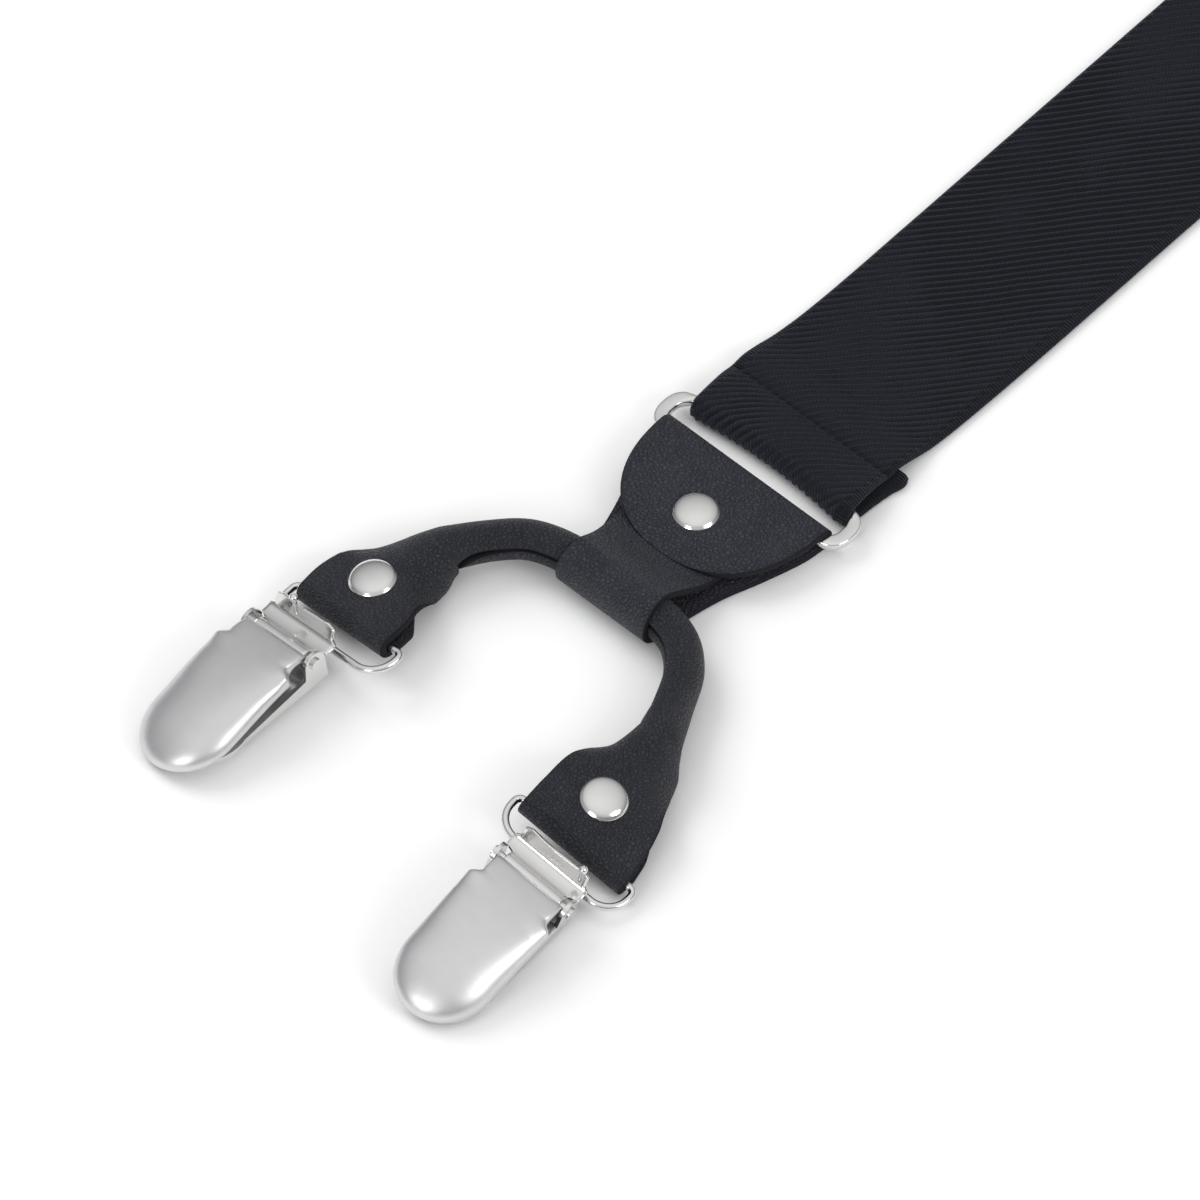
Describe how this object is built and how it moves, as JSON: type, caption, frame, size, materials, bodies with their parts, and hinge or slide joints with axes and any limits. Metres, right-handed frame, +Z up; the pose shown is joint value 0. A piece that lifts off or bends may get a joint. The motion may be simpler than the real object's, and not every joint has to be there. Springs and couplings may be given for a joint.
{
  "type": "suspenders",
  "caption": "Y-back trouser suspenders: twill webbing, leather yokes on metal rings, rolled leather straps and D-ringed lever clips.",
  "frame": {"origin": "centre of the back patch's underside, on the surface that the suspenders lie on", "axes": "+Y towards the two front straps' ends, +Z up, +X to the right seen from above with +Y away"},
  "size_m": [0.5461, 1.1336, 0.0121],
  "materials": {
    "webbing": "ribbed elastic twill",
    "leather": "fine pebble grain",
    "polished_nickel": "polished nickel",
    "brushed_nickel": "satin nickel, brushed along its length"
  },
  "bodies": {
    "straps": {"back_strap": "webbing", "left_front_strap": "webbing", "right_front_strap": "webbing", "patch_lining": "leather", "patch_face": "leather"},
    "back_ring_body": {"back_ring": "polished_nickel"},
    "back_yoke_body": {"back_yoke": "leather", "back_yoke_rivet": "polished_nickel"},
    "back_arms": {"back_rolled_strap": "leather", "back_ear_rivets": "polished_nickel"},
    "back_left_link": {"back_left_d_ring": "polished_nickel"},
    "back_left_lower_jaw": {"back_left_jaw_base": "polished_nickel", "back_left_pin": "polished_nickel"},
    "back_left_upper_jaw": {"back_left_jaw_dome": "brushed_nickel"},
    "back_left_lever_body": {"back_left_lever": "polished_nickel", "back_left_stud": "polished_nickel"},
    "back_right_link": {"back_right_d_ring": "polished_nickel"},
    "back_right_lower_jaw": {"back_right_jaw_base": "polished_nickel", "back_right_pin": "polished_nickel"},
    "back_right_upper_jaw": {"back_right_jaw_dome": "brushed_nickel"},
    "back_right_lever_body": {"back_right_lever": "polished_nickel", "back_right_stud": "polished_nickel"},
    "left_front_ring_body": {"left_front_ring": "polished_nickel"},
    "left_front_yoke_body": {"left_front_yoke": "leather", "left_front_yoke_rivet": "polished_nickel"},
    "left_front_arms": {"left_front_rolled_strap": "leather", "left_front_ear_rivets": "polished_nickel"},
    "left_front_inner_link": {"left_front_inner_d_ring": "polished_nickel"},
    "left_front_inner_lower_jaw": {"left_front_inner_jaw_base": "polished_nickel", "left_front_inner_pin": "polished_nickel"},
    "left_front_inner_upper_jaw": {"left_front_inner_jaw_dome": "brushed_nickel"},
    "left_front_inner_lever_body": {"left_front_inner_lever": "polished_nickel", "left_front_inner_stud": "polished_nickel"},
    "left_front_outer_link": {"left_front_outer_d_ring": "polished_nickel"},
    "left_front_outer_lower_jaw": {"left_front_outer_jaw_base": "polished_nickel", "left_front_outer_pin": "polished_nickel"},
    "left_front_outer_upper_jaw": {"left_front_outer_jaw_dome": "brushed_nickel"},
    "left_front_outer_lever_body": {"left_front_outer_lever": "polished_nickel", "left_front_outer_stud": "polished_nickel"},
    "left_front_adjuster": {"left_front_adjuster_frame": "polished_nickel"},
    "left_front_adjuster_cover": {"left_front_adjuster_gate": "polished_nickel"},
    "right_front_ring_body": {"right_front_ring": "polished_nickel"},
    "right_front_yoke_body": {"right_front_yoke": "leather", "right_front_yoke_rivet": "polished_nickel"},
    "right_front_arms": {"right_front_rolled_strap": "leather", "right_front_ear_rivets": "polished_nickel"},
    "right_front_outer_link": {"right_front_outer_d_ring": "polished_nickel"},
    "right_front_outer_lower_jaw": {"right_front_outer_jaw_base": "polished_nickel", "right_front_outer_pin": "polished_nickel"},
    "right_front_outer_upper_jaw": {"right_front_outer_jaw_dome": "brushed_nickel"},
    "right_front_outer_lever_body": {"right_front_outer_lever": "polished_nickel", "right_front_outer_stud": "polished_nickel"},
    "right_front_inner_link": {"right_front_inner_d_ring": "polished_nickel"},
    "right_front_inner_lower_jaw": {"right_front_inner_jaw_base": "polished_nickel", "right_front_inner_pin": "polished_nickel"},
    "right_front_inner_upper_jaw": {"right_front_inner_jaw_dome": "brushed_nickel"},
    "right_front_inner_lever_body": {"right_front_inner_lever": "polished_nickel", "right_front_inner_stud": "polished_nickel"},
    "right_front_adjuster": {"right_front_adjuster_frame": "polished_nickel"},
    "right_front_adjuster_cover": {"right_front_adjuster_gate": "polished_nickel"}
  },
  "joints": [
    {"name": "back_ring_swing", "type": "hinge", "parent": "straps", "child": "back_ring_body", "pos_m": [0, -0.17474, 0.00256], "axis": [-1, 0, 0], "range_deg": [-60, 60]},
    {"name": "back_yoke_swing", "type": "hinge", "parent": "back_ring_body", "child": "back_yoke_body", "pos_m": [0, -0.18246, 0.00256], "axis": [1, 0, 0], "range_deg": [-60, 60]},
    {"name": "back_arms_roll", "type": "hinge", "parent": "back_yoke_body", "child": "back_arms", "pos_m": [0, -0.2133, 0.00478], "axis": [-1, 0, 0], "range_deg": [-45, 45]},
    {"name": "back_left_link_swing", "type": "hinge", "parent": "back_arms", "child": "back_left_link", "pos_m": [-0.0278, -0.2479, 0.00481], "axis": [0.9861, -0.0569, 0.1564], "range_deg": [-50, 50]},
    {"name": "back_left_clip_swing", "type": "hinge", "parent": "back_left_link", "child": "back_left_lower_jaw", "pos_m": [-0.03128, -0.2541, 0.00403], "axis": [-0.9861, 0.0569, -0.1564], "range_deg": [-40, 40]},
    {"name": "back_left_jaw_open", "type": "hinge", "parent": "back_left_lower_jaw", "child": "back_left_upper_jaw", "pos_m": [-0.032, -0.25969, 0.00656], "axis": [-0.9861, 0.0569, -0.1564], "range_deg": [0, 19.2]},
    {"name": "back_left_lever_flip", "type": "hinge", "parent": "back_left_lower_jaw", "child": "back_left_lever_body", "pos_m": [-0.032, -0.25969, 0.00656], "axis": [0.9861, -0.0569, 0.1564], "range_deg": [0, 80]},
    {"name": "back_right_link_swing", "type": "hinge", "parent": "back_arms", "child": "back_right_link", "pos_m": [0.0309, -0.2566, 0.00478], "axis": [0.9728, 0.0561, -0.225], "range_deg": [-50, 50]},
    {"name": "back_right_clip_swing", "type": "hinge", "parent": "back_right_link", "child": "back_right_lower_jaw", "pos_m": [0.03101, -0.263, 0.00455], "axis": [-0.9728, -0.0561, 0.225], "range_deg": [-40, 40]},
    {"name": "back_right_jaw_open", "type": "hinge", "parent": "back_right_lower_jaw", "child": "back_right_upper_jaw", "pos_m": [0.03191, -0.26857, 0.00704], "axis": [-0.9728, -0.0561, 0.225], "range_deg": [0, 19.2]},
    {"name": "back_right_lever_flip", "type": "hinge", "parent": "back_right_lower_jaw", "child": "back_right_lever_body", "pos_m": [0.03191, -0.26857, 0.00704], "axis": [0.9728, 0.0561, -0.225], "range_deg": [0, 80]},
    {"name": "left_front_ring_swing", "type": "hinge", "parent": "straps", "child": "left_front_ring_body", "pos_m": [-0.20252, 0.70628, 0.00256], "axis": [0.9613, 0.2756, 0], "range_deg": [-60, 60]},
    {"name": "left_front_yoke_swing", "type": "hinge", "parent": "left_front_ring_body", "child": "left_front_yoke_body", "pos_m": [-0.20465, 0.7137, 0.00256], "axis": [-0.9613, -0.2756, 0], "range_deg": [-60, 60]},
    {"name": "left_front_arms_roll", "type": "hinge", "parent": "left_front_yoke_body", "child": "left_front_arms", "pos_m": [-0.21315, 0.74334, 0.00478], "axis": [0.9613, 0.2756, 0], "range_deg": [-45, 45]},
    {"name": "left_front_inner_link_swing", "type": "hinge", "parent": "left_front_arms", "child": "left_front_inner_link", "pos_m": [-0.19596, 0.78427, 0.00481], "axis": [-0.9635, -0.2171, 0.1564], "range_deg": [-50, 50]},
    {"name": "left_front_inner_clip_swing", "type": "hinge", "parent": "left_front_inner_link", "child": "left_front_inner_lower_jaw", "pos_m": [-0.19433, 0.79119, 0.00403], "axis": [0.9635, 0.2171, -0.1564], "range_deg": [-40, 40]},
    {"name": "left_front_inner_jaw_open", "type": "hinge", "parent": "left_front_inner_lower_jaw", "child": "left_front_inner_upper_jaw", "pos_m": [-0.19517, 0.79676, 0.00656], "axis": [0.9635, 0.2171, -0.1564], "range_deg": [0, 19.2]},
    {"name": "left_front_inner_lever_flip", "type": "hinge", "parent": "left_front_inner_lower_jaw", "child": "left_front_inner_lever_body", "pos_m": [-0.19517, 0.79676, 0.00656], "axis": [-0.9635, -0.2171, 0.1564], "range_deg": [0, 80]},
    {"name": "left_front_outer_link_swing", "type": "hinge", "parent": "left_front_arms", "child": "left_front_outer_link", "pos_m": [-0.25479, 0.77645, 0.00478], "axis": [-0.9196, -0.322, -0.225], "range_deg": [-50, 50]},
    {"name": "left_front_outer_clip_swing", "type": "hinge", "parent": "left_front_outer_link", "child": "left_front_outer_lower_jaw", "pos_m": [-0.25666, 0.78257, 0.00455], "axis": [0.9196, 0.322, 0.225], "range_deg": [-40, 40]},
    {"name": "left_front_outer_jaw_open", "type": "hinge", "parent": "left_front_outer_lower_jaw", "child": "left_front_outer_upper_jaw", "pos_m": [-0.25906, 0.78768, 0.00704], "axis": [0.9196, 0.322, 0.225], "range_deg": [0, 19.2]},
    {"name": "left_front_outer_lever_flip", "type": "hinge", "parent": "left_front_outer_lower_jaw", "child": "left_front_outer_lever_body", "pos_m": [-0.25906, 0.78768, 0.00704], "axis": [-0.9196, -0.322, -0.225], "range_deg": [0, 80]},
    {"name": "left_front_adjuster_slide", "type": "slide", "parent": "straps", "child": "left_front_adjuster", "axis": [-0.2756, 0.9613, 0], "range_m": [0, 0.06]},
    {"name": "left_front_adjuster_flip", "type": "hinge", "parent": "left_front_adjuster", "child": "left_front_adjuster_cover", "pos_m": [-0.15987, 0.55753, 0.005], "axis": [0.9613, 0.2756, 0], "range_deg": [0, 110]},
    {"name": "right_front_ring_swing", "type": "hinge", "parent": "straps", "child": "right_front_ring_body", "pos_m": [0.20252, 0.70628, 0.00256], "axis": [0.9613, -0.2756, 0], "range_deg": [-60, 60]},
    {"name": "right_front_yoke_swing", "type": "hinge", "parent": "right_front_ring_body", "child": "right_front_yoke_body", "pos_m": [0.20465, 0.7137, 0.00256], "axis": [-0.9613, 0.2756, 0], "range_deg": [-60, 60]},
    {"name": "right_front_arms_roll", "type": "hinge", "parent": "right_front_yoke_body", "child": "right_front_arms", "pos_m": [0.21315, 0.74334, 0.00478], "axis": [0.9613, -0.2756, 0], "range_deg": [-45, 45]},
    {"name": "right_front_outer_link_swing", "type": "hinge", "parent": "right_front_arms", "child": "right_front_outer_link", "pos_m": [0.24941, 0.76894, 0.00481], "axis": [-0.9322, 0.3264, 0.1564], "range_deg": [-50, 50]},
    {"name": "right_front_outer_clip_swing", "type": "hinge", "parent": "right_front_outer_link", "child": "right_front_outer_lower_jaw", "pos_m": [0.25447, 0.77394, 0.00403], "axis": [0.9322, -0.3264, -0.1564], "range_deg": [-40, 40]},
    {"name": "right_front_outer_jaw_open", "type": "hinge", "parent": "right_front_outer_lower_jaw", "child": "right_front_outer_upper_jaw", "pos_m": [0.2567, 0.77911, 0.00656], "axis": [0.9322, -0.3264, -0.1564], "range_deg": [0, 19.2]},
    {"name": "right_front_outer_lever_flip", "type": "hinge", "parent": "right_front_outer_lower_jaw", "child": "right_front_outer_lever_body", "pos_m": [0.2567, 0.77911, 0.00656], "axis": [-0.9322, 0.3264, 0.1564], "range_deg": [0, 80]},
    {"name": "right_front_inner_link_swing", "type": "hinge", "parent": "right_front_arms", "child": "right_front_inner_link", "pos_m": [0.19538, 0.79348, 0.00478], "axis": [-0.9505, 0.2142, -0.225], "range_deg": [-50, 50]},
    {"name": "right_front_inner_clip_swing", "type": "hinge", "parent": "right_front_inner_link", "child": "right_front_inner_lower_jaw", "pos_m": [0.19704, 0.79966, 0.00455], "axis": [0.9505, -0.2142, 0.225], "range_deg": [-40, 40]},
    {"name": "right_front_inner_jaw_open", "type": "hinge", "parent": "right_front_inner_lower_jaw", "child": "right_front_inner_upper_jaw", "pos_m": [0.19771, 0.80527, 0.00704], "axis": [0.9505, -0.2142, 0.225], "range_deg": [0, 19.2]},
    {"name": "right_front_inner_lever_flip", "type": "hinge", "parent": "right_front_inner_lower_jaw", "child": "right_front_inner_lever_body", "pos_m": [0.19771, 0.80527, 0.00704], "axis": [-0.9505, 0.2142, -0.225], "range_deg": [0, 80]},
    {"name": "right_front_adjuster_slide", "type": "slide", "parent": "straps", "child": "right_front_adjuster", "axis": [0.2756, 0.9613, 0], "range_m": [0, 0.06]},
    {"name": "right_front_adjuster_flip", "type": "hinge", "parent": "right_front_adjuster", "child": "right_front_adjuster_cover", "pos_m": [0.15987, 0.55753, 0.005], "axis": [0.9613, -0.2756, 0], "range_deg": [0, 110]}
  ],
  "couplings": [
    {"joint": "back_left_lever_flip", "follows": "back_left_jaw_open", "ratio": 4.166},
    {"joint": "back_right_lever_flip", "follows": "back_right_jaw_open", "ratio": 4.166},
    {"joint": "left_front_inner_lever_flip", "follows": "left_front_inner_jaw_open", "ratio": 4.166},
    {"joint": "left_front_outer_lever_flip", "follows": "left_front_outer_jaw_open", "ratio": 4.166},
    {"joint": "right_front_outer_lever_flip", "follows": "right_front_outer_jaw_open", "ratio": 4.166},
    {"joint": "right_front_inner_lever_flip", "follows": "right_front_inner_jaw_open", "ratio": 4.166}
  ]
}
